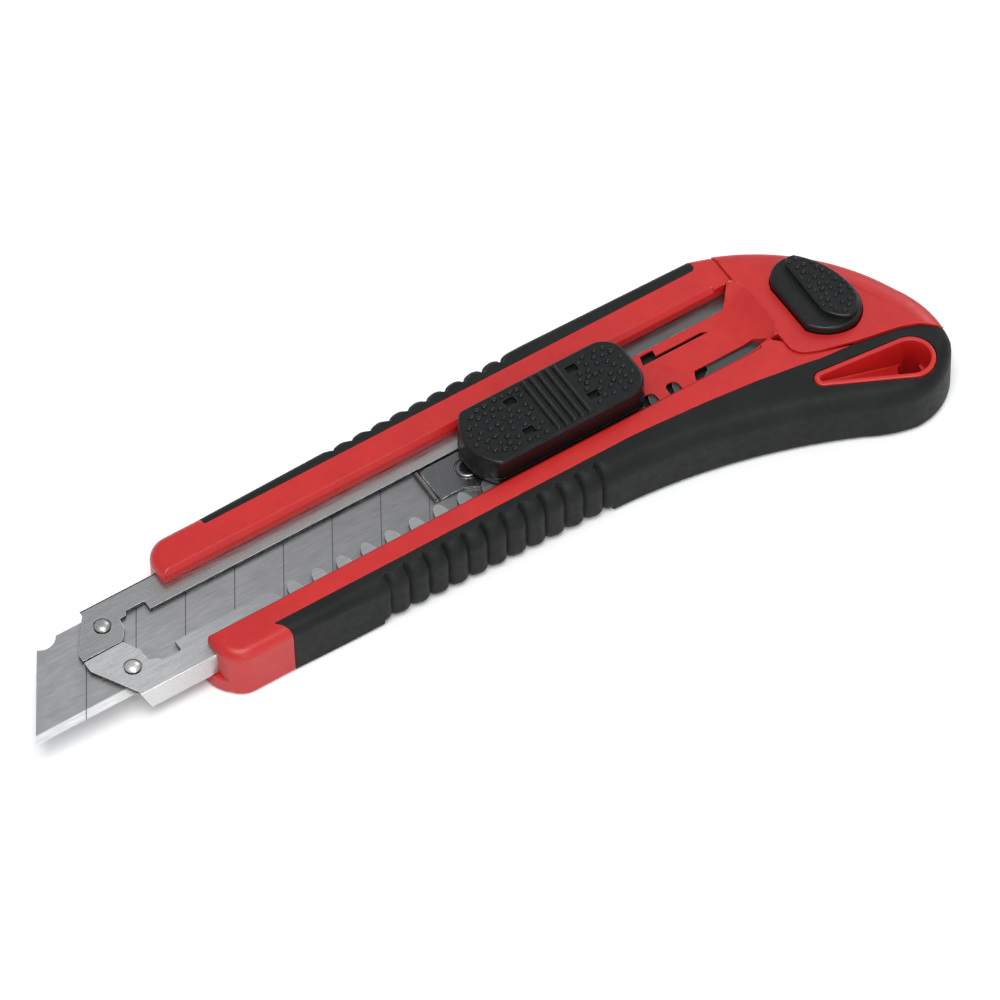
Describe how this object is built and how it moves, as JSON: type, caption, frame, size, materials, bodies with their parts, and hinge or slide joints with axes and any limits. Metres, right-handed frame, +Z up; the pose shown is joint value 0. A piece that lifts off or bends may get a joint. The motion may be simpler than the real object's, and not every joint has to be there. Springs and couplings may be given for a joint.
{
  "type": "snap-off utility knife",
  "caption": "Snap-off utility knife with a steel blade channel, ratchet slider, soft-grip body, spare-blade magazine with a reload button and a lanyard eye.",
  "frame": {"origin": "middle of the knife's underside, on the face that it lies on", "axes": "+X along the knife from the blade's tip to the tail, +Y from the cutting edge to the spine, +Z up out of the slider face"},
  "size_m": [0.1801, 0.0478, 0.0163],
  "materials": {
    "red_plastic": "satin moulded ABS",
    "soft_grip": "matt moulded rubber",
    "black_plastic": "fine satin",
    "channel_steel": "bright rolled sheet",
    "blade_steel": "ground and oiled",
    "spring_steel": "tempered",
    "inner_plastic": "natural",
    "screw_steel": "zinc plated"
  },
  "bodies": {
    "handle": {"handle_shell": "red_plastic", "rear_cover": "red_plastic", "edge_grip": "soft_grip", "spine_grip": "soft_grip", "blade_channel": "channel_steel", "nose_guide": "inner_plastic", "cover_screws": "screw_steel", "button_spring": "spring_steel", "magazine_spring": "spring_steel"},
    "slider": {"slider_cap": "black_plastic", "carrier_plate": "channel_steel", "hook_leaf": "spring_steel", "hook_peg": "spring_steel", "carrier_rivets": "screw_steel", "lock_spring": "spring_steel", "active_blade": "blade_steel"},
    "magazine": {"magazine_follower": "spring_steel", "spare_blade_upper": "blade_steel", "spare_blade_lower": "blade_steel"},
    "button": {"reload_button": "black_plastic"}
  },
  "joints": [
    {"name": "slider_travel", "type": "slide", "parent": "handle", "child": "slider", "axis": [-1, 0, 0], "range_m": [-0.022, 0.055], "deforming": ["lock_spring"]},
    {"name": "button_press", "type": "slide", "parent": "handle", "child": "button", "axis": [0, 0, -1], "range_m": [0, 0.0014], "stiffness_N_per_m": 600, "springref_m": -0.003, "deforming": ["button_spring"]},
    {"name": "magazine_sink", "type": "slide", "parent": "handle", "child": "magazine", "axis": [0, 0, -1], "range_m": [0, 0.0014], "deforming": ["magazine_spring"]}
  ],
  "couplings": [
    {"joint": "magazine_sink", "follows": "button_press", "ratio": 1}
  ]
}
